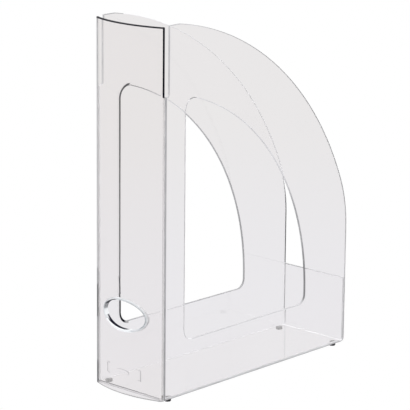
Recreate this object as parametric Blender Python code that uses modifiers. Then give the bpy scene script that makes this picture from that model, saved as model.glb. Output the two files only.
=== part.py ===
"""Clear magazine file, in panels that meet in rebates. Metres, +Z up.

A bowed spine closes the front (-Y). Two side walls with a window each run back from it to the open
rear (+Y), where a low lip joins them. A floor plate lies between them, a ring lines the finger hole
in the spine, and four stud feet are pressed into the floor plate.

The origin is under the middle of the file, on the surface that it stands on. Outlines of the side
walls and of the lip are drawn in two lengths: u, back from the seam between spine and walls, and
w, up from the lower edge of the shell.
"""
import math

import bmesh
import bpy
from mathutils import Matrix

# Whole file
WIDTH = 0.076            # over the side walls, where they meet the spine
HEIGHT = 0.310           # spine, without the feet
REACH = 0.2338           # from the seam back to the rear edge
BULGE = 0.0092           # the spine's crown stands this far in front of the seam
TOE_IN = 0.0022          # each side wall comes in this much by the rear edge
WALL = 0.002             # every panel
GAP = 0.0003             # bond line between two pieces
LAP = 0.0011             # depth of the rebate round the inside of a side wall
LIP_HEIGHT = 0.0585
HEEL_RADIUS = 0.0035     # outer bend from the floor up into the lip

# Side wall: back edge of two tangent arcs, open slot at the top front, window with an arched back
WALL_TOP_W = 0.3108
REAR_ARC_RADIUS = 0.1177
REAR_ARC_W = 0.1047
CROWN_ARC_RADIUS = 0.2673
ARCS_MEET = math.radians(22.9)
SLOT_U = 0.0055
SLOT_DEPTH = 0.0565
SLOT_RADIUS = 0.002
WINDOW_FRONT_U = 0.0251
WINDOW_SILL_W = 0.0466
WINDOW_ARC_U = -0.0192
WINDOW_ARC_W = 0.0588
WINDOW_ARC_RADIUS = 0.1976
WINDOW_TOP_RADIUS = 0.0095
WINDOW_HEEL_RADIUS = 0.008
WINDOW_TOE_RADIUS = 0.009

# Spine: rounded corners that return to meet the walls, finger hole and its ring, raised frame
CORNER_RADIUS = 0.0027
RETURN = 0.002           # from the seam to the end of the spine's return
LAP_REACH = 0.002        # the return's inner half runs on by this, into the wall's rebate
RING_WIDTH = 0.050
RING_HEIGHT = 0.0275
RING_WALL = 0.0018
RING_W = 0.0680
PROUD = 0.0004           # the ring and the raised frame stand out of the spine by this
RING_DEPTH = 0.0042
FRAME_WIDTH = 0.039
FRAME_HEIGHT = 0.0095
FRAME_W = 0.0192
FRAME_LINE = 0.0009
FRAME_RETURN = 0.003
BOSS_WIDTH = 0.015
BOSS_HEIGHT = 0.0045

# Lip and feet
LIP_FLANGE = 0.005       # how far the bent foot of the lip reaches forward, bend included
FOOT_RADIUS = 0.003
FOOT_HEIGHT = 0.0025
FOOT_EDGE = 0.0006
PEG_RADIUS = 0.0012
PEG_HEIGHT = 0.0012      # above the lower edge of the shell
FOOT_INSET = 0.0042      # from the outer face of the side wall to the foot's axis
FOOT_FRONT_U = 0.0095
FOOT_REAR_U = 0.2225

# Worked out from the above
SEAM_Y = (BULGE + PROUD - REACH) / 2
TOE_ANGLE = math.atan2(TOE_IN, REACH)
CORNER_X = WIDTH / 2 - CORNER_RADIUS
SPINE_RADIUS = (CORNER_X ** 2 + BULGE ** 2 - CORNER_RADIUS ** 2) / (2 * (BULGE - CORNER_RADIUS))
SPINE_CENTRE_Y = SPINE_RADIUS - BULGE
OVERCUT = 0.005          # how far a cutter runs past what it cuts

# A flat outline is drawn in its object's XY plane and stood up by one of these
SIDEWAYS = Matrix(((0, 0, 1, 0), (1, 0, 0, 0), (0, 1, 0, 0), (0, 0, 0, 1)))
FACING_FRONT = Matrix(((1, 0, 0, 0), (0, 0, -1, 0), (0, 1, 0, 0), (0, 0, 0, 1)))


def start():
    """Clear the file and make the two collections."""
    for old in list(bpy.data.objects):
        bpy.data.objects.remove(old, do_unlink=True)
    groups = []
    for name in ("magazine_file", "cutters"):
        group = bpy.data.collections.new(name)
        bpy.context.scene.collection.children.link(group)
        groups.append(group)
    return groups


def clear_styrene(name, colour=(0.90, 0.91, 0.92), alpha=0.4, roughness=0.06):
    material = bpy.data.materials.new(name + "_styrene")
    material.use_nodes = True
    shader = material.node_tree.nodes["Principled BSDF"]
    shader.inputs["Base Color"].default_value = (*colour, 1.0)
    shader.inputs["Roughness"].default_value = roughness
    shader.inputs["Metallic"].default_value = 0.0
    shader.inputs["IOR"].default_value = 1.59
    shader.inputs["Alpha"].default_value = alpha
    return material


def arc(centre, radius, start_angle, end_angle, steps):
    """Points along an arc, both ends included. The radius may be a pair, for an ellipse."""
    across, up = radius if isinstance(radius, tuple) else (radius, radius)
    turn = (end_angle - start_angle) / steps
    return [(centre[0] + across * math.cos(start_angle + i * turn),
             centre[1] + up * math.sin(start_angle + i * turn)) for i in range(steps + 1)]


def ellipse(width, height, steps=64):
    return arc((0, 0), (width / 2, height / 2), 0, math.tau, steps)[:-1]


def rectangle(left, right, low, high):
    return [(left, low), (right, low), (right, high), (left, high)]


def slab(name, outline, thickness, place, group):
    """A flat outline given a thickness, centred on its plane, and stood in place."""
    curve = bpy.data.curves.new(name, "CURVE")
    curve.dimensions = "2D"
    curve.fill_mode = "BOTH"
    curve.extrude = thickness / 2
    spline = curve.splines.new("POLY")
    spline.points.add(len(outline) - 1)
    for point, (x, y) in zip(spline.points, outline):
        point.co = (x, y, 0.0, 1.0)
    spline.use_cyclic_u = True
    drawn = bpy.data.objects.new(name + "_outline", curve)
    drawn.matrix_world = place
    group.objects.link(drawn)
    bpy.context.view_layer.update()
    evaluated = drawn.evaluated_get(bpy.context.evaluated_depsgraph_get())
    mesh = bpy.data.meshes.new_from_object(evaluated)
    shape = bmesh.new()
    shape.from_mesh(mesh)
    bmesh.ops.remove_doubles(shape, verts=shape.verts, dist=1e-6)
    shape.to_mesh(mesh)
    shape.free()
    mesh.name = name
    piece = bpy.data.objects.new(name, mesh)
    piece.matrix_world = drawn.matrix_world
    group.objects.link(piece)
    bpy.data.objects.remove(drawn)
    return piece


def combine(piece, other, operation):
    """Cut, keep or join with another mesh, which becomes a guide left out of the model."""
    modifier = piece.modifiers.new(other.name, "BOOLEAN")
    modifier.operation = operation
    modifier.solver = "EXACT"
    modifier.object = other
    other.display_type = "WIRE"
    other.hide_render = True


def finish(piece, material):
    piece.data.materials.clear()
    piece.data.materials.append(material)
    piece.data.shade_smooth()
    piece.data.set_sharp_from_angle(angle=math.radians(30))


def side_outline():
    """Side wall, counter-clockwise from its lower front corner."""
    rear_u = REACH - REAR_ARC_RADIUS
    spread = REAR_ARC_RADIUS - CROWN_ARC_RADIUS
    crown_u = rear_u + spread * math.cos(ARCS_MEET)
    crown_w = REAR_ARC_W + spread * math.sin(ARCS_MEET)
    top = math.asin((WALL_TOP_W - crown_w) / CROWN_ARC_RADIUS)
    slot_w = HEIGHT - SLOT_DEPTH
    outline = [(RETURN + GAP, 0)]
    outline += arc((REACH - HEEL_RADIUS, HEEL_RADIUS), HEEL_RADIUS, -math.pi / 2, 0, 6)
    outline += arc((rear_u, REAR_ARC_W), REAR_ARC_RADIUS, 0, ARCS_MEET, 12)
    outline += arc((crown_u, crown_w), CROWN_ARC_RADIUS, ARCS_MEET, top, 30)[1:]
    outline += [(SLOT_U, WALL_TOP_W)]
    outline += arc((SLOT_U - SLOT_RADIUS, slot_w + SLOT_RADIUS), SLOT_RADIUS, 0, -math.pi / 2, 4)
    outline += [(RETURN + GAP, slot_w)]
    return outline


def window_outline():
    """Window, counter-clockwise: sill, heel, arched back, top corner and upright front."""
    heel_w = WINDOW_SILL_W + WINDOW_HEEL_RADIUS
    heel_reach = WINDOW_ARC_RADIUS - WINDOW_HEEL_RADIUS
    heel_angle = math.asin((heel_w - WINDOW_ARC_W) / heel_reach)
    heel = (WINDOW_ARC_U + heel_reach * math.cos(heel_angle), heel_w)
    top_u = WINDOW_FRONT_U + WINDOW_TOP_RADIUS
    top_reach = WINDOW_ARC_RADIUS - WINDOW_TOP_RADIUS
    top_angle = math.acos((top_u - WINDOW_ARC_U) / top_reach)
    top = (top_u, WINDOW_ARC_W + top_reach * math.sin(top_angle))
    toe = (WINDOW_FRONT_U + WINDOW_TOE_RADIUS, WINDOW_SILL_W + WINDOW_TOE_RADIUS)
    outline = arc(toe, WINDOW_TOE_RADIUS, math.pi, 1.5 * math.pi, 6)
    outline += arc(heel, WINDOW_HEEL_RADIUS, -math.pi / 2, heel_angle, 6)
    outline += arc((WINDOW_ARC_U, WINDOW_ARC_W), WINDOW_ARC_RADIUS, heel_angle, top_angle, 32)[1:]
    outline += arc(top, WINDOW_TOP_RADIUS, top_angle, math.pi, 6)[1:]
    return outline


def rebate_outline():
    """The step inside a side wall that the spine's lap, the floor plate and the lip sit in."""
    front_u = RETURN + LAP_REACH + GAP
    rear_u = REACH - WALL - GAP
    step_w = WALL + GAP
    bend = HEEL_RADIUS - WALL - GAP
    outline = [(-OVERCUT, -OVERCUT), (REACH + OVERCUT, -OVERCUT),
               (REACH + OVERCUT, LIP_HEIGHT + GAP), (rear_u, LIP_HEIGHT + GAP)]
    outline += arc((rear_u - bend, step_w + bend), bend, 0, -math.pi / 2, 4)
    outline += [(front_u, step_w), (front_u, HEIGHT - SLOT_DEPTH + SLOT_RADIUS)]
    outline += [(-OVERCUT, HEIGHT - SLOT_DEPTH + SLOT_RADIUS)]
    return outline


def side_wall(name, side, parts, cutters):
    """side is +1 for the right wall and -1 for the left one."""
    hinge = (Matrix.Translation((side * WIDTH / 2, SEAM_Y, FOOT_HEIGHT))
             @ Matrix.Rotation(side * TOE_ANGLE, 4, "Z"))
    middle = hinge @ Matrix.Translation((-side * WALL / 2, 0, 0)) @ SIDEWAYS
    inner_face = hinge @ Matrix.Translation((-side * WALL, 0, 0)) @ SIDEWAYS
    wall = slab(name, side_outline(), WALL, middle, parts)
    window = slab(name + "_window", window_outline(), 4 * WALL, middle, cutters)
    rebate = slab(name + "_rebate", rebate_outline(), 2 * LAP, inner_face, cutters)
    combine(wall, window, "DIFFERENCE")
    combine(wall, rebate, "DIFFERENCE")
    finish(wall, clear_styrene(name))


def half_inner_width(u):
    """From the middle plane to the inner face of a side wall, at u behind the seam."""
    return WIDTH / 2 - WALL / math.cos(TOE_ANGLE) - u * math.tan(TOE_ANGLE)


def bowed(front, back, half_width, steps=32):
    """Plan of a strip that follows the spine; front and back are offsets from its outer face."""
    outline = []
    for offset, sign in ((front, 1), (back, -1)):
        radius = SPINE_RADIUS - offset
        swing = sign * math.asin(half_width / radius)
        middle = -math.pi / 2
        outline += arc((0, SPINE_CENTRE_Y), radius, middle - swing, middle + swing, steps)
    return outline


def right_face(offset):
    """Plan of the spine's right half from its crown round the corner, offset behind its outer face."""
    crown = -math.pi / 2
    junction = crown + math.atan2(CORNER_X, SPINE_CENTRE_Y)
    face = arc((0, SPINE_CENTRE_Y), SPINE_RADIUS - offset, crown, junction, 22)
    return face + arc((CORNER_X, 0), CORNER_RADIUS - offset, junction, 0, 5)[1:]


def spine_outline():
    """Plan of the spine: bowed outer face, a return with its lap at each edge, bowed inner face."""
    lap_end = RETURN + LAP_REACH
    inner_x = WIDTH / 2 - WALL
    lap_x = inner_x + LAP - GAP
    right = right_face(0)
    right += [(WIDTH / 2, RETURN), (lap_x, RETURN), (lap_x, lap_end), (inner_x, lap_end)]
    right += right_face(WALL)[::-1]
    left = [(-x, y) for x, y in right[-2:0:-1]]
    return right + left


def relief(name, outline, proud, depth, w, parts, cutters):
    """A shape seen from the front, bowed with the spine, from proud of its face to depth behind it."""
    seen = Matrix.Translation((0, SEAM_Y, FOOT_HEIGHT + w)) @ FACING_FRONT
    level = Matrix.Translation((0, SEAM_Y, FOOT_HEIGHT + w))
    shape = slab(name, outline, 8 * BULGE, seen, parts)
    strip = bowed(-proud, depth, WIDTH / 2 - 2 * WALL)
    combine(shape, slab(name + "_bow", strip, 2 * RING_HEIGHT, level, cutters), "INTERSECT")
    return shape


def bracket(side):
    """One end of the raised frame: an upright with a short return above and below."""
    out = FRAME_WIDTH / 2
    tall = FRAME_HEIGHT / 2
    points = [(out, -tall), (out, tall), (out - FRAME_RETURN, tall),
              (out - FRAME_RETURN, tall - FRAME_LINE), (out - FRAME_LINE, tall - FRAME_LINE),
              (out - FRAME_LINE, FRAME_LINE - tall), (out - FRAME_RETURN, FRAME_LINE - tall),
              (out - FRAME_RETURN, -tall)]
    return [(side * x, y) for x, y in points][::side]


def spine(parts, cutters):
    middle = Matrix.Translation((0, SEAM_Y, FOOT_HEIGHT + HEIGHT / 2))
    panel = slab("spine", spine_outline(), HEIGHT, middle, parts)

    reliefs = [("tongue_relief", 0, HEIGHT - SLOT_DEPTH, HEIGHT + OVERCUT),
               ("heel_relief", RETURN, -OVERCUT, WALL + GAP)]
    for name, front, low, high in reliefs:
        behind = rectangle(-WIDTH, WIDTH, front, RETURN + LAP_REACH + OVERCUT)
        place = Matrix.Translation((0, SEAM_Y, FOOT_HEIGHT + (low + high) / 2))
        combine(panel, slab(name, behind, high - low, place, cutters), "DIFFERENCE")

    seen = Matrix.Translation((0, SEAM_Y, FOOT_HEIGHT + RING_W)) @ FACING_FRONT
    hole = ellipse(RING_WIDTH + 2 * GAP, RING_HEIGHT + 2 * GAP)
    combine(panel, slab("finger_hole", hole, 8 * BULGE, seen, cutters), "DIFFERENCE")

    raised = [("frame_right", bracket(1)), ("frame_left", bracket(-1)),
              ("frame_boss", ellipse(BOSS_WIDTH, BOSS_HEIGHT, 32))]
    for name, outline in raised:
        raised_shape = relief(name, outline, PROUD, WALL / 2, FRAME_W, cutters, cutters)
        combine(panel, raised_shape, "UNION")
    finish(panel, clear_styrene("spine"))


def finger_ring(parts, cutters):
    ring = relief("finger_ring", ellipse(RING_WIDTH, RING_HEIGHT), PROUD, RING_DEPTH - PROUD,
                  RING_W, parts, cutters)
    seen = Matrix.Translation((0, SEAM_Y, FOOT_HEIGHT + RING_W)) @ FACING_FRONT
    bore = ellipse(RING_WIDTH - 2 * RING_WALL, RING_HEIGHT - 2 * RING_WALL)
    combine(ring, slab("ring_bore", bore, 8 * BULGE, seen, cutters), "DIFFERENCE")
    finish(ring, clear_styrene("finger_ring", colour=(0.80, 0.84, 0.90)))


def foot_positions():
    """Name, x and u of each foot's axis."""
    for end, u in (("front", FOOT_FRONT_U), ("rear", FOOT_REAR_U)):
        across = WIDTH / 2 - u * math.tan(TOE_ANGLE) - FOOT_INSET
        for side, x in (("left", -across), ("right", across)):
            yield f"foot_{end}_{side}", x, u


def floor_plate(parts, cutters):
    shoulder = RETURN + GAP
    rear = REACH - LIP_FLANGE - GAP
    half_tongue = WIDTH / 2 - WALL - GAP
    half_shoulder = half_inner_width(shoulder) + LAP - GAP
    half_rear = half_inner_width(rear) + LAP - GAP
    slope = half_shoulder - half_tongue
    right = [(half_tongue, GAP), (half_tongue, shoulder), (half_shoulder, shoulder + slope)]
    right += [(half_rear, rear)]
    outline = right + [(-x, u) for x, u in right[::-1]]
    middle = Matrix.Translation((0, SEAM_Y, FOOT_HEIGHT + WALL / 2))
    plate = slab("floor_plate", outline, WALL, middle, parts)
    low = FOOT_HEIGHT - OVERCUT
    high = FOOT_HEIGHT + PEG_HEIGHT + GAP
    hole = 2 * (PEG_RADIUS + GAP)
    for name, x, u in foot_positions():
        place = Matrix.Translation((x, SEAM_Y + u, (low + high) / 2))
        drill = slab(name + "_hole", ellipse(hole, hole, 24), high - low, place, cutters)
        combine(plate, drill, "DIFFERENCE")
    finish(plate, clear_styrene("floor_plate"))


def rear_lip(parts):
    """Low wall with its foot bent forward to meet the floor plate."""
    inner_bend = HEEL_RADIUS - WALL
    bend = (REACH - HEEL_RADIUS, HEEL_RADIUS)
    outline = [(REACH - LIP_FLANGE, 0)]
    outline += arc(bend, HEEL_RADIUS, -math.pi / 2, 0, 6)
    outline += [(REACH, LIP_HEIGHT), (REACH - WALL, LIP_HEIGHT)]
    outline += arc(bend, inner_bend, 0, -math.pi / 2, 6)
    outline += [(REACH - LIP_FLANGE, WALL)]
    length = 2 * (half_inner_width(REACH) + LAP - GAP)
    place = Matrix.Translation((0, SEAM_Y, FOOT_HEIGHT)) @ SIDEWAYS
    finish(slab("rear_lip", outline, length, place, parts), clear_styrene("rear_lip"))


def foot(name, x, u, parts):
    """Stud turned about its own axis: a peg, a shoulder under the shell and a rounded tread."""
    shoulder = FOOT_HEIGHT - GAP
    tread = arc((FOOT_RADIUS - FOOT_EDGE, FOOT_EDGE), FOOT_EDGE, 0, -math.pi / 2, 3)
    profile = [(0, FOOT_HEIGHT + PEG_HEIGHT), (PEG_RADIUS, FOOT_HEIGHT + PEG_HEIGHT),
               (PEG_RADIUS, shoulder), (FOOT_RADIUS, shoulder)] + tread + [(0, 0)]
    shape = bmesh.new()
    run = [shape.verts.new((radius, 0, height)) for radius, height in profile]
    for upper, lower in zip(run, run[1:]):
        shape.edges.new((upper, lower))
    mesh = bpy.data.meshes.new(name)
    shape.to_mesh(mesh)
    shape.free()
    stud = bpy.data.objects.new(name, mesh)
    stud.location = (x, SEAM_Y + u, 0)
    parts.objects.link(stud)
    turn = stud.modifiers.new("turned", "SCREW")
    turn.steps = 24
    turn.render_steps = 24
    turn.use_merge_vertices = True
    turn.merge_threshold = 1e-5
    finish(stud, clear_styrene(name, colour=(0.30, 0.31, 0.33), alpha=1.0, roughness=0.5))


def main():
    parts, cutters = start()
    spine(parts, cutters)
    finger_ring(parts, cutters)
    side_wall("side_wall_right", 1, parts, cutters)
    side_wall("side_wall_left", -1, parts, cutters)
    floor_plate(parts, cutters)
    rear_lip(parts)
    for name, x, u in foot_positions():
        foot(name, x, u, parts)


main()
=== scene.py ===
"""Looks of the clear magazine file: moulded styrene sheets with rounded rims, a finger ring and
four stud feet, on a pale studio floor. Metres, +Z up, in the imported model's frame.

Each sheet is drawn flat as (along, depth, up): depth 0 is its outer face and the sheet's thickness
is its inner face. Its rims are rounded there, and then it is stood up or bent into place.
"""

import math

import bmesh
import bpy
from mathutils import Matrix, Vector


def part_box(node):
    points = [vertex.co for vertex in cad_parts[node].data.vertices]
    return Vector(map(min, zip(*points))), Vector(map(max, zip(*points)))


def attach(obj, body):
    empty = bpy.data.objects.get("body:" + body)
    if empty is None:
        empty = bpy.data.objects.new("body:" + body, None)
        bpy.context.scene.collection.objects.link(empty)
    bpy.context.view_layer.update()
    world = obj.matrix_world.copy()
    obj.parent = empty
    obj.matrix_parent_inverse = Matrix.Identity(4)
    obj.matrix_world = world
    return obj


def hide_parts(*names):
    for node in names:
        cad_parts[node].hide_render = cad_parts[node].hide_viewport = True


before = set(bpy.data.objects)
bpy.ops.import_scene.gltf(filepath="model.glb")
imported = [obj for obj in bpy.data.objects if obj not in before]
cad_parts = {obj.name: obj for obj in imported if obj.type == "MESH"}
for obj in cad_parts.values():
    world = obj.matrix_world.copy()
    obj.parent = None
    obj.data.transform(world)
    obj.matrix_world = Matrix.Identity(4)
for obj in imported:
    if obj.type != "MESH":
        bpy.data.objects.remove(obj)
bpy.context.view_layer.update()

# Whole file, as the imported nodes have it
SPINE_LOW, SPINE_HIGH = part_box("spine")
LIP_LOW, LIP_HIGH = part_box("rear_lip")
WIDTH = SPINE_HIGH.x - SPINE_LOW.x
HEIGHT = SPINE_HIGH.z - SPINE_LOW.z
BOTTOM = SPINE_LOW.z
GAP = 0.0003
SEAM_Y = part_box("floor_plate")[0].y - GAP
REACH = LIP_HIGH.y - SEAM_Y
TOE_IN = 0.0022
WALL = 0.002
HAIRLINE = 0.00006       # what shows of a bond line between two pieces
RIM = 0.0005             # rounding of a moulded rim
LIP_HEIGHT = LIP_HIGH.z - BOTTOM
LIP_FLANGE = LIP_HIGH.y - LIP_LOW.y
HEEL_RADIUS = 0.0035
TOE_ANGLE = math.atan2(TOE_IN, REACH)

# Side wall and its window
WALL_TOP_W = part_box("side_wall_right")[1].z - BOTTOM
REAR_ARC_RADIUS = 0.1177
REAR_ARC_W = 0.1047
CROWN_ARC_RADIUS = 0.2673
ARCS_MEET = math.radians(22.9)
SLOT_U = 0.0055
SLOT_DEPTH = 0.0565
SLOT_RADIUS = 0.002
WINDOW_FRONT_U = 0.0251
WINDOW_SILL_W = 0.0466
WINDOW_ARC_U = -0.0192
WINDOW_ARC_W = 0.0588
WINDOW_ARC_RADIUS = 0.1976
WINDOW_TOP_RADIUS = 0.0095
WINDOW_HEEL_RADIUS = 0.008
WINDOW_TOE_RADIUS = 0.009
WINDOW_SHADE_BAND = 0.0016     # painted dark line, painted shade beside the rounded rim of the left window
SILL_CLEARS = 0.054      # along the left sill, where its rim's painted shade turns lighter, and darker again
SILL_DARKENS = 0.103
ARC_FADES = (0.030, 0.077)   # along the left window's arc, where its rim's painted shade goes from black to light
ARC_FADED = (0.078, 0.101)   # and the stretch where it is painted so light that it hardly shows
WALL_CUTS = (0.02, 0.06, 0.10)   # heights at which a wall's rims are divided, for their painted shade to change

# Spine, its finger hole and what is raised on it
BULGE = 0.0092
CORNER_RADIUS = 0.0027
RETURN = 0.002
RING_WIDTH = 0.050
RING_HEIGHT = 0.0275
RING_WALL = 0.0018
RING_W = 0.0680
RING_DEPTH = 0.0042
RING_EDGE = 0.0005
RING_MIDDLE = 0.955      # between the bore and the outer edge, as a share of the ring's reach
RING_PAINTED_HIGHLIGHT = (212, 292)    # degrees round the ring, where its front face catches the light and is painted white, a painted highlight
TOP_SHADE_BAND = 0.0011        # painted dark line, painted shade under the spine's top rim
TONGUE_SHADE_BAND = 0.0019     # painted dark line along the tongue's right edge
SEAM_SHADE_BAND = 0.0007       # and painted dark line beside the seam under it
SIDE_SHADE_BAND = 0.0014       # half the painted dark line, painted shade where the left side turns out of sight
SIDE_CUTS = (0.020, 0.058, 0.086, 0.100)   # heights at which that painted line changes
PROUD = 0.0004
FRAME_WIDTH = 0.039
FRAME_HEIGHT = 0.0095
FRAME_W = 0.0192
FRAME_LINE = 0.0009
FRAME_RETURN = 0.003
BOSS_WIDTH = 0.015
BOSS_HEIGHT = 0.0045
DRAFT = 0.00012          # slope on the sides of a raised or sunk detail
CORNER_X = WIDTH / 2 - CORNER_RADIUS
SPINE_RADIUS = (CORNER_X ** 2 + BULGE ** 2 - CORNER_RADIUS ** 2) / (2 * (BULGE - CORNER_RADIUS))
SPINE_CENTRE_Y = SPINE_RADIUS - BULGE
CROWN_ANGLE = math.atan2(CORNER_X, SPINE_CENTRE_Y)
CROWN_LENGTH = SPINE_RADIUS * CROWN_ANGLE
CORNER_LENGTH = CORNER_RADIUS * (math.pi / 2 - CROWN_ANGLE)
TURNED = CROWN_LENGTH + CORNER_LENGTH
# Within the first distance from the middle the sheet's thickness runs straight back, as the
# finger hole's bore does, and past the second it is square to the sheet
STRAIGHT_BORE = (0.0262, 0.0315)

# Feet
FOOT_RADIUS = 0.003
FOOT_SHOULDER = 0.0003   # rounding at the top of the body
FOOT_TREAD = 0.0006      # and round its tread
FOOT_TAPER = 0.0001      # how far the body narrows, on its way down
TREAD_DISH = 0.0002      # depth of the dish in the tread
DISH_RADII = (0.0009, 0.0012)   # of its floor, and of its edge
PEG_RADIUS = 0.0012
PEG_HEIGHT = 0.0012
PEG_CHAMFER = (0.0002, 0.00024)   # inwards, and down

# Floor plate and lip
FLOOR_CUTS = (-0.020, -0.010, 0, 0.010, 0.020, 0.030)   # across, where the front rim's painted shade changes
LIP_SPLIT = 0.6          # share of the lip's width on the right, where its top is painted lighter

COLLAR = -1              # mark of the faces beside a hole

# Painted lightness of a rim, from 0 for black to 1 for white: painted shade and highlight in place
# of what the sheets' edges reflect and refract
BLACK = 0.0
PAINTED_WHITE = 1.0
SILL = 0.45              # painted shade at the ends of the left window's sill, and at its lower front corner
PAINTED_FACING = 0.61            # painted light, as a rim hardly shows where the light falls straight on it
RING_PAINTED_FAINT = 0.76        # painted faint, as a rim hardly shows on the ring
PAINTED_FAINT = 0.85             # painted faint, as a rim hardly shows through a sheet

# Tint and deeper tint of the clear sheets, and darkest and lightest painted rim colour, for painted
# shade and highlight
WALL_TINTS = ((0.997, 0.993, 0.994), (0.992, 0.988, 0.990))
SPINE_TINTS = ((0.972, 0.958, 0.954), (0.967, 0.953, 0.950))
RING_TINTS = ((0.975, 0.985, 0.998), (0.95, 0.97, 0.99))
RIM_SHADES = ((0.0, 0.0, 0.006), (0.98, 0.985, 1.0))
RING_RIM_SHADES = ((0.0, 0.0, 0.012), (0.955, 0.985, 1.0))

# Studio
WHITE = (1.0, 1.0, 1.0, 1)
NEAR_GREY = (0.828, 0.820, 0.842, 1)
FAR_GREY = (0.824, 0.811, 0.811, 1)
OVERHEAD_GREY = (0.76, 0.75, 0.76, 1)
FLOOR_RADIUS = 30.0
EYE = (1.30947, -1.43863, 0.62677)
EYE_TURN = (42.858, 13.976, 0.520)   # degrees to the side, down, and about the line of sight
BOUNCES = 28             # enough for light to come out of the far sheets


# ---------------------------------------------------------------- shapes

def arc(centre, radius, start, end, steps):
    """Points along an arc, both ends included. The radius may be a pair, for an ellipse."""
    across, up = radius if isinstance(radius, tuple) else (radius, radius)
    turn = (end - start) / steps
    return [(centre[0] + across * math.cos(start + i * turn),
             centre[1] + up * math.sin(start + i * turn)) for i in range(steps + 1)]


def ellipse(centre, width, height, steps):
    return arc(centre, (width / 2, height / 2), 0, math.tau, steps)[:-1]


def smooth_step(value, low, high):
    share = min(max((value - low) / (high - low), 0.0), 1.0)
    return share * share * (3 - 2 * share)


def closed_run(shape, points):
    verts = [shape.verts.new((along, 0, up)) for along, up in points]
    return [shape.edges.new(pair) for pair in zip(verts, verts[1:] + verts[:1])]


def fill(shape, edges):
    made = bmesh.ops.triangle_fill(shape, use_beauty=True, edges=edges, normal=(0, -1, 0))
    return [part for part in made["geom"] if isinstance(part, bmesh.types.BMFace)]


def round_edges(shape, edges, radius, segments):
    """Round these edges, and keep the shading of the faces beside them flat."""
    made = bmesh.ops.bevel(shape, geom=edges, offset=radius, offset_type="OFFSET",
                           segments=segments, profile=0.5, affect="EDGES", material=-1,
                           clamp_overlap=False)
    rounded = set(made["faces"])
    for face in rounded:
        for edge in face.edges:
            if any(other not in rounded for other in edge.link_faces):
                edge.smooth = False


def sharp_edges(shape, least=math.radians(50)):
    return [edge for edge in shape.edges
            if edge.is_manifold and edge.calc_face_angle() > least]


def on_the_rim(face):
    """Whatever doesn't face squarely out of a flat sheet is its rim."""
    return abs(face.normal.y) < 0.999


def score(shape, along=(), deep=(), up=()):
    """Divide the faces where the sheet bends or where a rim's painted lightness changes."""
    planes = [((spot, 0, 0), (1, 0, 0)) for spot in along]
    planes += [((0, spot, 0), (0, 1, 0)) for spot in deep]
    planes += [((0, 0, spot), (0, 0, 1)) for spot in up]
    for spot, facing in planes:
        bmesh.ops.bisect_plane(shape, geom=shape.verts[:] + shape.edges[:] + shape.faces[:],
                               dist=1e-7, plane_co=spot, plane_no=facing)


def paint_rim_light(shape, painted_light, is_rim=on_the_rim):
    """Give the rim faces the second material and a painted lightness, as the given function of
    (along, depth, up) says: painted shade and highlight for what the sheets' edges reflect and
    refract.
    """
    lightness = shape.faces.layers.float.new("painted_light")
    for face in shape.faces:
        if is_rim(face):
            face.material_index = 1
            face[lightness] = painted_light(*face.calc_center_median())


def sheet(outlines, thickness, radius=RIM, segments=3, details=(), collar=()):
    """A flat sheet. The outlines are its outer one and then its holes. Details are (outline,
    height) pairs that stand out of the outer face, or sink into it where the height is negative.
    A collar is an outline round the last hole, and the faces within it are marked COLLAR."""
    shape = bmesh.new()
    kind = shape.faces.layers.int.new("detail")
    runs = [closed_run(shape, points) for points in outlines]
    inner = [closed_run(shape, points) for points, height in details]
    if collar:
        hole = runs.pop()
        runs.append(closed_run(shape, collar))
        for face in fill(shape, hole + runs[-1]):
            face[kind] = COLLAR
    fill(shape, [edge for run in runs + inner for edge in run])
    for number, run in enumerate(inner):
        for face in fill(shape, run):
            face[kind] = number + 1
    grown = bmesh.ops.extrude_face_region(shape, geom=shape.faces[:])
    moved = [part for part in grown["geom"] if isinstance(part, bmesh.types.BMVert)]
    bmesh.ops.translate(shape, verts=moved, vec=(0, thickness, 0))
    bmesh.ops.recalc_face_normals(shape, faces=shape.faces[:])
    for face in shape.faces:
        face.smooth = True
    round_edges(shape, sharp_edges(shape), radius, segments)
    for number, (points, height) in enumerate(details):
        faces = [face for face in shape.faces
                 if face[kind] == number + 1 and face.calc_center_median().y < thickness / 2]
        rim = {edge for face in faces for edge in face.edges
               if any(other not in faces for other in edge.link_faces)}
        for edge in rim:
            edge.smooth = False
        bmesh.ops.inset_region(shape, faces=faces, thickness=DRAFT, depth=height,
                               use_even_offset=True, use_boundary=True)
        top = {edge for face in faces for edge in face.edges
               if any(other not in faces for other in edge.link_faces)}
        for edge in top:
            edge.smooth = False
    return shape


def place(shape, where):
    """Move every vertex from the flat drawing to where(along, depth, up)."""
    for vert in shape.verts:
        vert.co = where(*vert.co)


def piece(name, shape, node, slot, *materials):
    """The finished mesh as an object that stands for its CAD node."""
    bmesh.ops.remove_doubles(shape, verts=shape.verts[:], dist=1e-7)
    bmesh.ops.recalc_face_normals(shape, faces=shape.faces[:])
    mesh = bpy.data.meshes.new(name)
    shape.to_mesh(mesh)
    shape.free()
    for material in materials:
        mesh.materials.append(material)
    made = bpy.data.objects.new(name, mesh)
    bpy.context.scene.collection.objects.link(made)
    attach(made, "root")
    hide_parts(node)
    return made


# ---------------------------------------------------------------- side walls

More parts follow.
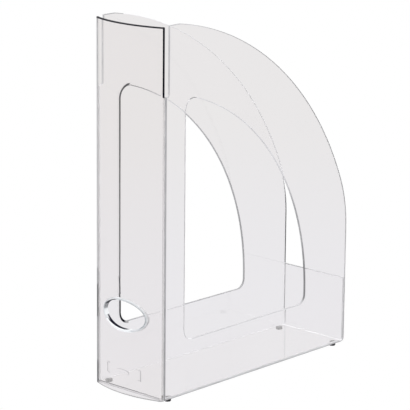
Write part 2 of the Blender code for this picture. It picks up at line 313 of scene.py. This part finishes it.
def side_outline():
    rear_u = REACH - REAR_ARC_RADIUS
    spread = REAR_ARC_RADIUS - CROWN_ARC_RADIUS
    crown_u = rear_u + spread * math.cos(ARCS_MEET)
    crown_w = REAR_ARC_W + spread * math.sin(ARCS_MEET)
    top = math.asin((WALL_TOP_W - crown_w) / CROWN_ARC_RADIUS)
    slot_w = HEIGHT - SLOT_DEPTH
    front = RETURN + HAIRLINE
    outline = [(front, 0)]
    outline += arc((REACH - HEEL_RADIUS, HEEL_RADIUS), HEEL_RADIUS, -math.pi / 2, 0, 8)
    outline += arc((rear_u, REAR_ARC_W), REAR_ARC_RADIUS, 0, ARCS_MEET, 20)
    outline += arc((crown_u, crown_w), CROWN_ARC_RADIUS, ARCS_MEET, top, 56)[1:]
    outline += [(SLOT_U, WALL_TOP_W)]
    outline += arc((SLOT_U - SLOT_RADIUS, slot_w + SLOT_RADIUS), SLOT_RADIUS, 0, -math.pi / 2, 6)
    outline += [(front, slot_w)]
    return outline


def window_outline(grow=0.0):
    heel_w = WINDOW_SILL_W + WINDOW_HEEL_RADIUS
    heel_reach = WINDOW_ARC_RADIUS - WINDOW_HEEL_RADIUS
    heel_angle = math.asin((heel_w - WINDOW_ARC_W) / heel_reach)
    heel = (WINDOW_ARC_U + heel_reach * math.cos(heel_angle), heel_w)
    top_u = WINDOW_FRONT_U + WINDOW_TOP_RADIUS
    top_reach = WINDOW_ARC_RADIUS - WINDOW_TOP_RADIUS
    top_angle = math.acos((top_u - WINDOW_ARC_U) / top_reach)
    top = (top_u, WINDOW_ARC_W + top_reach * math.sin(top_angle))
    toe = (WINDOW_FRONT_U + WINDOW_TOE_RADIUS, WINDOW_SILL_W + WINDOW_TOE_RADIUS)
    outline = arc(toe, WINDOW_TOE_RADIUS + grow, math.pi, 1.5 * math.pi, 10)
    outline += arc(heel, WINDOW_HEEL_RADIUS + grow, -math.pi / 2, heel_angle, 10)
    outline += arc((WINDOW_ARC_U, WINDOW_ARC_W), WINDOW_ARC_RADIUS + grow,
                   heel_angle, top_angle, 60)[1:]
    outline += arc(top, WINDOW_TOP_RADIUS + grow, top_angle, math.pi, 10)[1:]
    return outline


def in_window(u, w):
    """Whether a rim of the side wall is that of its window."""
    reach = math.hypot(u - WINDOW_ARC_U, w - WINDOW_ARC_W)
    margin = RIM + WINDOW_SHADE_BAND
    return (u > WINDOW_FRONT_U - margin and w > WINDOW_SILL_W - margin
            and reach < WINDOW_ARC_RADIUS + margin)


def in_toe(u, w):
    """Whether a rim of the window is that of its lower front corner."""
    return u < WINDOW_FRONT_U + WINDOW_TOE_RADIUS and w < WINDOW_SILL_W + WINDOW_TOE_RADIUS


def right_painted_light(u, depth, w):
    """Painted lightness of the right wall's rims, first those of its window: painted shade and
    highlight for what the rims reflect and refract.
    """
    if in_window(u, w):
        if in_toe(u, w):
            return PAINTED_FAINT
        if u < WINDOW_FRONT_U + RIM:                          # front edge
            return 0.72
        if w < WINDOW_SILL_W + RIM:
            return PAINTED_FACING
        if u < WINDOW_FRONT_U + WINDOW_TOP_RADIUS + 0.002:    # upper front corner
            return 0.25 if u > WINDOW_FRONT_U + 0.006 else 0.62
        darkest, low_rise, high_rise, heel_rise = 0.28, 0.18, 0.38, 0.30
        return (darkest + low_rise * smooth_step(w, 0.075, 0.110)
                + high_rise * smooth_step(w, 0.125, 0.170)
                + heel_rise * (1 - smooth_step(w, 0.047, 0.052)))
    if u < SLOT_U + RIM and w > HEIGHT - SLOT_DEPTH:          # back of the slot
        return 0.68
    if u < RETURN + 2 * RIM:                                  # seam with the spine
        return 0.55
    if w < RIM:                                               # bottom
        return 0.42
    return 0.50


def left_painted_light(u, depth, w):
    """Painted lightness of the left wall's rims, first those of its window: painted shade and
    highlight for what the rims reflect and refract.
    """
    if in_window(u, w):
        if in_toe(u, w):
            return SILL * smooth_step(u, 0.0285, 0.031)
        if w < WINDOW_SILL_W + RIM:
            return SILL if u < SILL_CLEARS or u > SILL_DARKENS else PAINTED_FACING
        if u < WINDOW_FRONT_U + WINDOW_TOP_RADIUS:            # front edge and its upper corner
            return BLACK
        if u < ARC_FADED[0]:
            return 0.65 * smooth_step(u, *ARC_FADES)
        if u < ARC_FADED[1]:
            return PAINTED_FAINT
        return 0.42 + 0.13 * smooth_step(w, 0.080, 0.180)
    fades, faded = REAR_ARC_W + 0.008, REAR_ARC_W + 0.035
    if u > REACH - 0.020 and LIP_HEIGHT < w < faded:          # rear edge, up from the lip, painted black fading to light
        return 0.01 + 0.84 * smooth_step(w, fades, faded)
    if u > REACH - RIM:                                       # behind the lip's end, painted white
        return PAINTED_WHITE
    if u < 0.030 and w > HEIGHT - SLOT_DEPTH:                 # back of the slot, front of the top
        return 0.66 if u < SLOT_U + RIM else 0.42
    return PAINTED_FAINT


def side_wall(side, clear, rim):
    """side is +1 for the right wall and -1 for the left one. Beside the front of the left window,
    the wall's inner face is painted with the rims' dark shade too, a painted dark band."""
    name = "right" if side > 0 else "left"
    hinge = (Matrix.Translation((side * WIDTH / 2, SEAM_Y, BOTTOM))
             @ Matrix.Rotation(side * TOE_ANGLE, 4, "Z"))
    shape = sheet([side_outline(), window_outline()], WALL,
                  collar=window_outline(RIM + WINDOW_SHADE_BAND))
    mark = shape.faces.layers.int["detail"]
    score(shape, along=(SILL_CLEARS, SILL_DARKENS), up=(*WALL_CUTS, LIP_HEIGHT))

    def is_rim(face):
        u, depth, w = face.calc_center_median()
        dark = (side < 0 and face[mark] == COLLAR and depth > WALL / 2
                and u < WINDOW_FRONT_U + WINDOW_TOP_RADIUS)
        return on_the_rim(face) or dark

    paint_rim_light(shape, right_painted_light if side > 0 else left_painted_light, is_rim)
    place(shape, lambda u, depth, w: hinge @ Vector((-side * depth, u, w)))
    piece(f"wall_{name}_sheet", shape, f"side_wall_{name}", "clear_styrene", clear, rim)


def half_inner_width(u):
    return WIDTH / 2 - WALL / math.cos(TOE_ANGLE) - u * math.tan(TOE_ANGLE)


# ---------------------------------------------------------------- spine

def way_round(x):
    """How far round the outer face of the spine x is."""
    return SPINE_RADIUS * math.asin(x / SPINE_RADIUS)


def bent(s, depth, w):
    """A point of the flat spine, once the sheet is bowed and its corners are turned."""
    side = math.copysign(1.0, s)
    s = abs(s)
    if s <= CROWN_LENGTH:
        outer_x = SPINE_RADIUS * math.sin(s / SPINE_RADIUS)
        square = smooth_step(outer_x, *STRAIGHT_BORE)
        x = outer_x * (1 - square * depth / SPINE_RADIUS)
        y = SPINE_CENTRE_Y - math.sqrt((SPINE_RADIUS - depth) ** 2 - x ** 2)
    elif s <= TURNED:
        angle = CROWN_ANGLE + (s - CROWN_LENGTH) / CORNER_RADIUS
        x = CORNER_X + (CORNER_RADIUS - depth) * math.sin(angle)
        y = -(CORNER_RADIUS - depth) * math.cos(angle)
    else:
        x = WIDTH / 2 - depth
        y = s - TURNED
    return side * x, SEAM_Y + y, BOTTOM + w


def bracket(side):
    """One end of the raised frame: an upright with a short return above and below."""
    out = FRAME_WIDTH / 2
    low, high = FRAME_W - FRAME_HEIGHT / 2, FRAME_W + FRAME_HEIGHT / 2
    points = [(out, low), (out, high), (out - FRAME_RETURN, high),
              (out - FRAME_RETURN, high - FRAME_LINE), (out - FRAME_LINE, high - FRAME_LINE),
              (out - FRAME_LINE, low + FRAME_LINE), (out - FRAME_RETURN, low + FRAME_LINE),
              (out - FRAME_RETURN, low)]
    return [(side * way_round(x), w) for x, w in points]


def on_corner(s):
    """Whether a face is where the left side of the spine turns out of sight, where a dark line of
    shade is painted.
    """
    return CROWN_LENGTH - SIDE_SHADE_BAND < -s < CROWN_LENGTH + SIDE_SHADE_BAND


def spine_rim(face):
    """The rims, and the faces beside them under the top edge, at the tongue's right edge, at the
    right seam, and where the left side turns, which are given the rims' painted shade as painted
    dark lines."""
    middle = face.calc_center_median()
    tongue = middle.x > TURNED - TONGUE_SHADE_BAND and middle.z > HEIGHT - SLOT_DEPTH
    seam = middle.x > TURNED + RETURN - RIM - SEAM_SHADE_BAND
    return (on_the_rim(face) or middle.z > HEIGHT - TOP_SHADE_BAND or tongue or seam
            or on_corner(middle.x))


def spine_painted_light(s, depth, w):
    """Painted lightness of the spine's rims and of the sides of what is raised on it: painted shade
    and highlight for what they reflect and refract.
    """
    if w > HEIGHT - TOP_SHADE_BAND:
        return 0.02
    if abs(s) > TURNED - TONGUE_SHADE_BAND and w > HEIGHT - SLOT_DEPTH + RIM:   # tongue
        return BLACK if s > 0 else 0.62
    if s > TURNED - RIM:                                                  # right seam
        return 0.72 if depth > WALL - RIM else 0.32 + 0.10 * smooth_step(w, 0.020, 0.120)
    if s < RIM - TURNED:
        return PAINTED_FAINT
    if on_corner(s) and w > RIM:
        foot_end, dark_start, dark_end, grey_end = SIDE_CUTS
        dark = w < foot_end or dark_start < w < dark_end
        return 0.15 if dark else 0.36 if w < grey_end else 0.54
    if w < RIM:                                                           # bottom
        return 0.35 if depth < RIM else 0.50 if depth > WALL - RIM else 0.80
    return 0.35 if w < FRAME_W + FRAME_HEIGHT else PAINTED_FAINT


def spine(clear, rim):
    edge = TURNED + RETURN
    slot_w = HEIGHT - SLOT_DEPTH
    right = [(edge, 0), (edge, slot_w), (TURNED, slot_w), (TURNED, HEIGHT)]
    outline = right + [(-s, w) for s, w in right[::-1]]
    hole = [(way_round(x), w) for x, w in
            ellipse((0, RING_W), RING_WIDTH + 2 * HAIRLINE, RING_HEIGHT + 2 * HAIRLINE, 96)]
    boss = [(way_round(x), w) for x, w in ellipse((0, FRAME_W), BOSS_WIDTH, BOSS_HEIGHT, 32)]
    shape = sheet([outline, hole], WALL,
                  details=[(bracket(1), PROUD), (bracket(-1), PROUD), (boss, PROUD)])
    crown = [CROWN_LENGTH * i / 26 for i in range(-26, 27)]
    corner = [CROWN_LENGTH + CORNER_LENGTH * i / 12 for i in range(1, 13)]
    bands = [TURNED - TONGUE_SHADE_BAND, edge - RIM - SEAM_SHADE_BAND]
    score(shape, along=crown + corner + [-s for s in corner] + bands,
          up=(*SIDE_CUTS, HEIGHT - TOP_SHADE_BAND))
    paint_rim_light(shape, spine_painted_light, spine_rim)
    place(shape, bent)
    piece("spine_sheet", shape, "spine", "clear_styrene", clear, rim)


def round_ring(x, w):
    """Degrees round the ring from its right end, over the top."""
    return math.degrees(math.atan2((w - RING_W) / RING_HEIGHT, x / RING_WIDTH)) % 360


def ring_rim(face):
    """The bore, the rounded edges, and the part of the front face that catches the light, painted
    white there as a painted highlight.
    """
    middle = face.calc_center_median()
    lit = RING_PAINTED_HIGHLIGHT[0] < round_ring(middle.x, middle.z) < RING_PAINTED_HIGHLIGHT[1]
    return on_the_rim(face) or (lit and middle.y < RING_DEPTH / 2)


def ring_painted_light(x, depth, w):
    """Painted lightness of the ring's bore and edges, painted shade and reflections: it hardly
    shows on the right and is painted dark at the upper left, its lit lower front is painted white
    as a highlight, and at the lower left the bore's front half is painted lighter than its back
    half."""
    turn = round_ring(x, w)
    front = depth < RING_EDGE
    reach = math.hypot(2 * x / RING_WIDTH, 2 * (w - RING_W) / RING_HEIGHT)
    if front and RING_PAINTED_HIGHLIGHT[0] < turn < RING_PAINTED_HIGHLIGHT[1]:
        return PAINTED_WHITE
    if reach > RING_MIDDLE:
        return RING_PAINTED_FAINT
    if turn < 106 or turn > RING_PAINTED_HIGHLIGHT[1]:
        return 0.50 if front and (turn < 80 or turn > 345) else RING_PAINTED_FAINT
    if turn < 200:
        dark = smooth_step(turn, 106, 120) * (1 - smooth_step(turn, 150, 160))
        grey = smooth_step(turn, 150, 160) * (1 - smooth_step(turn, 172, 186))
        lightest = 0.95
        return lightest * (1 - dark) - 0.60 * grey
    light = 0.85 * smooth_step(turn, 276, 290)
    if depth < RING_DEPTH / 2:
        return 0.80 * (1 - smooth_step(turn, 206, 224)) + light
    return 0.25 * (1 - smooth_step(turn, 200, 214)) + light


def finger_ring(clear, rim):
    shape = sheet([ellipse((0, RING_W), RING_WIDTH, RING_HEIGHT, 96),
                   ellipse((0, RING_W), RING_WIDTH - 2 * RING_WALL,
                           RING_HEIGHT - 2 * RING_WALL, 96)], RING_DEPTH, RING_EDGE, 5)
    score(shape, deep=[RING_DEPTH / 2])
    paint_rim_light(shape, ring_painted_light, ring_rim)

    def bowed(x, depth, w):
        front = SPINE_CENTRE_Y - math.sqrt(SPINE_RADIUS ** 2 - x ** 2)
        return x, SEAM_Y + front - PROUD + depth, BOTTOM + w

    place(shape, bowed)
    piece("finger_ring_moulding", shape, "finger_ring", "ring_styrene", clear, rim)


# ---------------------------------------------------------------- floor, lip and feet

def foot_axes():
    """Name and axis of each foot, from its node."""
    for name in ("front_left", "front_right", "rear_left", "rear_right"):
        low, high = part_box("foot_" + name)
        yield name, (low + high) / 2


def floor_painted_light(x, depth, u):
    """Painted lightness of the floor plate's rims, painted shade for what they reflect and refract;
    only the front one is free.
    """
    if u > GAP + RIM:
        return PAINTED_FACING if depth > WALL - RIM or x > WIDTH / 2 - 2 * WALL else PAINTED_FAINT
    if depth > WALL - RIM:
        return 0.15 + 0.35 * smooth_step(x, 0.0, 0.036)
    return 0.40 if depth < RIM else 0.80


def floor_plate(clear, rim):
    rear = REACH - LIP_FLANGE - HAIRLINE
    right = [(WIDTH / 2 - WALL - HAIRLINE, GAP), (half_inner_width(rear) - HAIRLINE, rear)]
    outline = right + [(-x, u) for x, u in right[::-1]]
    hole = 2 * (PEG_RADIUS + HAIRLINE)
    holes = [(ellipse((axis.x, axis.y - SEAM_Y), hole, hole, 24), -PEG_HEIGHT)
             for name, axis in foot_axes()]
    shape = sheet([outline], WALL, details=holes)
    score(shape, along=FLOOR_CUTS)
    paint_rim_light(shape, floor_painted_light)
    place(shape, lambda x, depth, u: (x, SEAM_Y + u, BOTTOM + depth))
    piece("floor_sheet", shape, "floor_plate", "clear_styrene", clear, rim)


def lip_rim(face):
    """The lip's ends, its top edge and the edge of its foot."""
    middle = face.calc_center_median()
    return (abs(face.normal.y) > 0.1 or middle.z > LIP_HEIGHT - RIM
            or middle.x < REACH - LIP_FLANGE + RIM)


def lip_painted_light(u, depth, w):
    """Painted lightness of the lip's rims, painted shade for what they reflect and refract; its top
    shows most towards the left, where it is painted darker.
    """
    if w < LIP_HEIGHT - RIM:
        return PAINTED_FACING if w > WALL else PAINTED_FAINT
    return 0.40 if depth > WIDTH / 2 else 0.52


def rear_lip(clear, rim):
    bend = (REACH - HEEL_RADIUS, HEEL_RADIUS)
    outline = [(REACH - LIP_FLANGE, 0)]
    outline += arc(bend, HEEL_RADIUS, -math.pi / 2, 0, 10)
    outline += [(REACH, LIP_HEIGHT), (REACH - WALL, LIP_HEIGHT)]
    outline += arc(bend, HEEL_RADIUS - WALL, 0, -math.pi / 2, 10)
    outline += [(REACH - LIP_FLANGE, WALL)]
    half = half_inner_width(REACH) - HAIRLINE
    shape = sheet([outline], 2 * half)
    score(shape, deep=[LIP_SPLIT * 2 * half])
    paint_rim_light(shape, lip_painted_light, lip_rim)
    place(shape, lambda u, depth, w: (half - depth, SEAM_Y + u, BOTTOM + w))
    piece("rear_lip_sheet", shape, "rear_lip", "clear_styrene", clear, rim)


def foot(name, axis, rubber):
    """Stud turned about its own axis: peg, shoulder, and a body with a rounded, dished tread."""
    under = BOTTOM - HAIRLINE
    peg_top = under + PEG_HEIGHT
    chamfer_in, chamfer_down = PEG_CHAMFER
    dish_floor, dish_edge = DISH_RADII
    profile = [(0, peg_top), (PEG_RADIUS - chamfer_in, peg_top),
               (PEG_RADIUS, peg_top - chamfer_down), (PEG_RADIUS, under)]
    profile += arc((FOOT_RADIUS - FOOT_SHOULDER, under - FOOT_SHOULDER), FOOT_SHOULDER,
                   math.pi / 2, 0, 3)
    profile += arc((FOOT_RADIUS - FOOT_TAPER - FOOT_TREAD, FOOT_TREAD), FOOT_TREAD,
                   0, -math.pi / 2, 5)
    profile += [(dish_edge, 0), (dish_floor, TREAD_DISH), (0, TREAD_DISH)]
    shape = bmesh.new()
    run = [shape.verts.new((axis.x + radius, axis.y, height)) for radius, height in profile]
    edges = [shape.edges.new(pair) for pair in zip(run, run[1:])]
    bmesh.ops.spin(shape, geom=run + edges, cent=(axis.x, axis.y, 0), axis=(0, 0, 1),
                   angle=math.tau, steps=40, use_merge=True)
    bmesh.ops.remove_doubles(shape, verts=shape.verts[:], dist=1e-6)
    for face in shape.faces:
        face.smooth = True
    for edge in sharp_edges(shape, math.radians(35)):
        edge.smooth = False
    piece(f"stud_{name}", shape, "foot_" + name, "foot_rubber", rubber)


# ---------------------------------------------------------------- materials

class Value:
    """A number out of a node. Arithmetic on it adds the Math nodes."""

    def __init__(self, graph, socket):
        self.graph = graph
        self.socket = socket

    def math(self, operation, other):
        return self.graph.node("ShaderNodeMath", {"operation": operation}, {0: self, 1: other})

    def __add__(self, other):
        return self.math("ADD", other)

    def __mul__(self, other):
        return self.math("MULTIPLY", other)

    __radd__ = __add__
    __rmul__ = __mul__

    def ramp(self, low, high):
        """0 up to low, 1 from high on, smooth in between."""
        return self.graph.node("ShaderNodeMapRange", {"interpolation_type": "SMOOTHSTEP"},
                               {"Value": self, "From Min": low, "From Max": high}, "Result")


class Graph:
    """The node tree of a material or of the world."""

    def __init__(self, owner):
        owner.use_nodes = True
        self.tree = owner.node_tree
        self.tree.nodes.clear()

    def node(self, kind, settings=None, inputs=None, output=0):
        """Add a node, with its settings first and then its inputs, and return one output, if it
        has any."""
        made = self.tree.nodes.new(kind)
        for name, setting in (settings or {}).items():
            setattr(made, name, setting)
        for name, given in (inputs or {}).items():
            if isinstance(given, Value):
                self.tree.links.new(given.socket, made.inputs[name])
            else:
                made.inputs[name].default_value = given
        return Value(self, made.outputs[output]) if len(made.outputs) else None

    def mix_colour(self, factor, first, second):
        return self.node("ShaderNodeMix", {"data_type": "RGBA"},
                         {0: factor, 6: first, 7: second}, 2)

    def mix_shader(self, factor, first, second):
        return self.node("ShaderNodeMixShader", {}, {0: factor, 1: first, 2: second})

    def ray(self, kind):
        return self.node("ShaderNodeLightPath", {}, {}, kind)

    def place(self, scale):
        """Object coordinates, scaled along each axis."""
        spot = self.node("ShaderNodeTexCoord", {}, {}, "Object")
        return self.node("ShaderNodeMapping", {}, {"Vector": spot, "Scale": scale})

    def noise(self, scale, detail=2.0, stretch=(1, 1, 1)):
        return self.node("ShaderNodeTexNoise", {},
                         {"Vector": self.place(stretch), "Scale": scale, "Detail": detail}, "Fac")

    def surface(self, shader, output="ShaderNodeOutputMaterial"):
        self.node(output, {}, {"Surface": shader})


def clear_styrene(name, tint, deep_tint):
    """Clear moulded styrene: flow marks, a little dust and fine handling scratches."""
    material = bpy.data.materials.new(name)
    graph = Graph(material)
    flow = graph.noise(9.0, 3.0, (1.0, 1.0, 0.35))
    dust = graph.noise(900.0, 2.0).ramp(0.70, 0.80)
    scratch = graph.noise(260.0, 1.0, (1.0, 1.0, 0.04)).ramp(0.66, 0.72)
    colour = graph.mix_colour(flow.ramp(0.35, 0.65), (*tint, 1), (*deep_tint, 1))
    roughness = 0.012 + 0.02 * flow.ramp(0.4, 0.7) + 0.10 * dust + 0.03 * scratch
    relief = graph.node("ShaderNodeBump", {}, {"Strength": 0.03, "Distance": 0.0004,
                                               "Height": flow + 0.02 * scratch})
    body = graph.node("ShaderNodeBsdfPrincipled", {},
                      {"Base Color": colour, "Roughness": roughness, "Normal": relief,
                       "Transmission Weight": 1.0, "IOR": 1.59})
    through = graph.node("ShaderNodeBsdfTransparent", {}, {"Color": (*tint, 1)})
    graph.surface(graph.mix_shader(graph.ray("Is Shadow Ray"), body, through))
    return material


def styrene_rim_painted_light(name, dark, light):
    """Rim of a sheet, where the light comes out after its long way through: satin and a little
    uneven, with its colour painted lighter or darker face by face, painted shade and highlight for
    the way that light has come."""
    material = bpy.data.materials.new(name)
    graph = Graph(material)
    # the painted lightness of each rim face: painted shade and highlight
    painted_light = graph.node("ShaderNodeAttribute", {"attribute_name": "painted_light"}, {}, "Fac")
    wander = graph.noise(70.0, 2.0)
    lightness = painted_light * (0.85 + 0.3 * wander)
    colour = graph.mix_colour(lightness, (*dark, 1), (*light, 1))
    grain = graph.node("ShaderNodeBump", {}, {"Strength": 0.05, "Distance": 0.0001,
                                              "Height": graph.noise(1800.0)})
    satin = graph.node("ShaderNodeBsdfPrincipled", {},
                       {"Base Color": colour, "Roughness": 0.30 + 0.2 * wander,
                        "Normal": grain, "Specular IOR Level": 0.08})
    through = graph.node("ShaderNodeBsdfTransparent", {}, {})
    graph.surface(graph.mix_shader(graph.ray("Is Shadow Ray"), satin, through))
    return material


def rubber(name):
    """Dark rubber of the feet, matt, with a fine grain and paler dusty high spots."""
    material = bpy.data.materials.new(name)
    graph = Graph(material)
    grain = graph.noise(2600.0, 3.0)
    bloom = graph.noise(420.0, 2.0).ramp(0.45, 0.75)
    colour = graph.mix_colour(bloom, (0.006, 0.006, 0.007, 1), (0.020, 0.020, 0.022, 1))
    relief = graph.node("ShaderNodeBump", {}, {"Strength": 0.35, "Distance": 0.00005,
                                               "Height": grain})
    graph.surface(graph.node("ShaderNodeBsdfPrincipled", {},
                             {"Base Color": colour, "Roughness": 0.55 + 0.2 * grain,
                              "Normal": relief}))
    return material


# ---------------------------------------------------------------- studio

def studio_floor():
    """Pale floor. What shows through the plastic is a shade greyer than the floor itself, as on
    a sweep that is lit brighter than the light that comes through the sheets."""
    shape = bmesh.new()
    bmesh.ops.create_circle(shape, cap_ends=True, segments=96, radius=FLOOR_RADIUS)
    mesh = bpy.data.meshes.new("studio_floor")
    shape.to_mesh(mesh)
    shape.free()
    floor = bpy.data.objects.new("studio_floor", mesh)
    bpy.context.scene.collection.objects.link(floor)
    material = bpy.data.materials.new("floor_paper")
    graph = Graph(material)
    far = graph.node("ShaderNodeVectorMath", {"operation": "LENGTH"},
                     {0: graph.place((1, 1, 1))}, "Value").ramp(0.15, 1.1)
    grey = graph.mix_colour(far, NEAR_GREY, FAR_GREY)
    seen = graph.mix_colour(graph.ray("Is Camera Ray"), grey, WHITE)
    graph.surface(graph.node("ShaderNodeEmission", {}, {"Color": seen, "Strength": 1.0}))
    mesh.materials.append(material)


def studio_world():
    """White straight behind the file. What the sheets show of it is the floor's far grey round
    the horizon, and a shade darker overhead."""
    world = bpy.data.worlds.new("studio_world")
    bpy.context.scene.world = world
    graph = Graph(world)
    spot = graph.node("ShaderNodeTexCoord", {}, {}, "Generated")
    rise = graph.node("ShaderNodeSeparateXYZ", {}, {"Vector": spot}, "Z")
    room = graph.mix_colour(rise.ramp(0.35, 0.85), FAR_GREY, OVERHEAD_GREY)
    seen = graph.mix_colour(graph.ray("Is Camera Ray"), room, WHITE)
    graph.surface(graph.node("ShaderNodeBackground", {}, {"Color": seen, "Strength": 1.0}),
                  "ShaderNodeOutputWorld")


def softbox(name, location, size, power):
    """A rectangular light that faces the file and isn't seen itself, nor through the sheets."""
    light = bpy.data.lights.new(name, "AREA")
    light.shape = "RECTANGLE"
    light.size, light.size_y = size
    light.energy = power
    lamp = bpy.data.objects.new(name, light)
    lamp.location = location
    lamp.rotation_euler = (-Vector(location)).to_track_quat("-Z", "Y").to_euler()
    lamp.visible_camera = False
    lamp.visible_transmission = False
    bpy.context.scene.collection.objects.link(lamp)


def camera():
    lens = bpy.data.cameras.new("camera")
    lens.lens = 207.46
    lens.sensor_width = 36.0
    lens.shift_x = 0.00866
    lens.shift_y = -0.00227
    lens.clip_end = 100.0
    yaw, pitch, roll = (math.radians(angle) for angle in EYE_TURN)
    eye = bpy.data.objects.new("camera", lens)
    eye.matrix_world = (Matrix.Translation(EYE)
                        @ Matrix.Rotation(yaw, 4, "Z")
                        @ Matrix.Rotation(math.pi / 2 - pitch, 4, "X")
                        @ Matrix.Rotation(roll, 4, "Z"))
    bpy.context.scene.collection.objects.link(eye)
    bpy.context.scene.camera = eye


clear = clear_styrene("clear_styrene_wall", *WALL_TINTS)
spine_clear = clear_styrene("clear_styrene_spine", *SPINE_TINTS)
ring_clear = clear_styrene("clear_styrene_ring", *RING_TINTS)
black = rubber("foot_rubber_black")
rim = styrene_rim_painted_light("clear_styrene_rim_painted_light", *RIM_SHADES)
ring_rims = styrene_rim_painted_light("clear_styrene_ring_rim_painted_light", *RING_RIM_SHADES)
side_wall(1, clear, rim)
side_wall(-1, clear, rim)
spine(spine_clear, rim)
finger_ring(ring_clear, ring_rims)
floor_plate(clear, rim)
rear_lip(clear, rim)
for foot_name, foot_axis in foot_axes():
    foot(foot_name, foot_axis, black)

studio_floor()
studio_world()
softbox("softbox_left", (-2.2, -1.4, 2.4), (1.6, 1.6), 50)
softbox("softbox_right", (2.4, 0.6, 2.6), (1.6, 1.6), 40)
camera()
bpy.context.scene.view_settings.view_transform = "Standard"
bpy.context.scene.cycles.max_bounces = BOUNCES
bpy.context.scene.cycles.transmission_bounces = BOUNCES
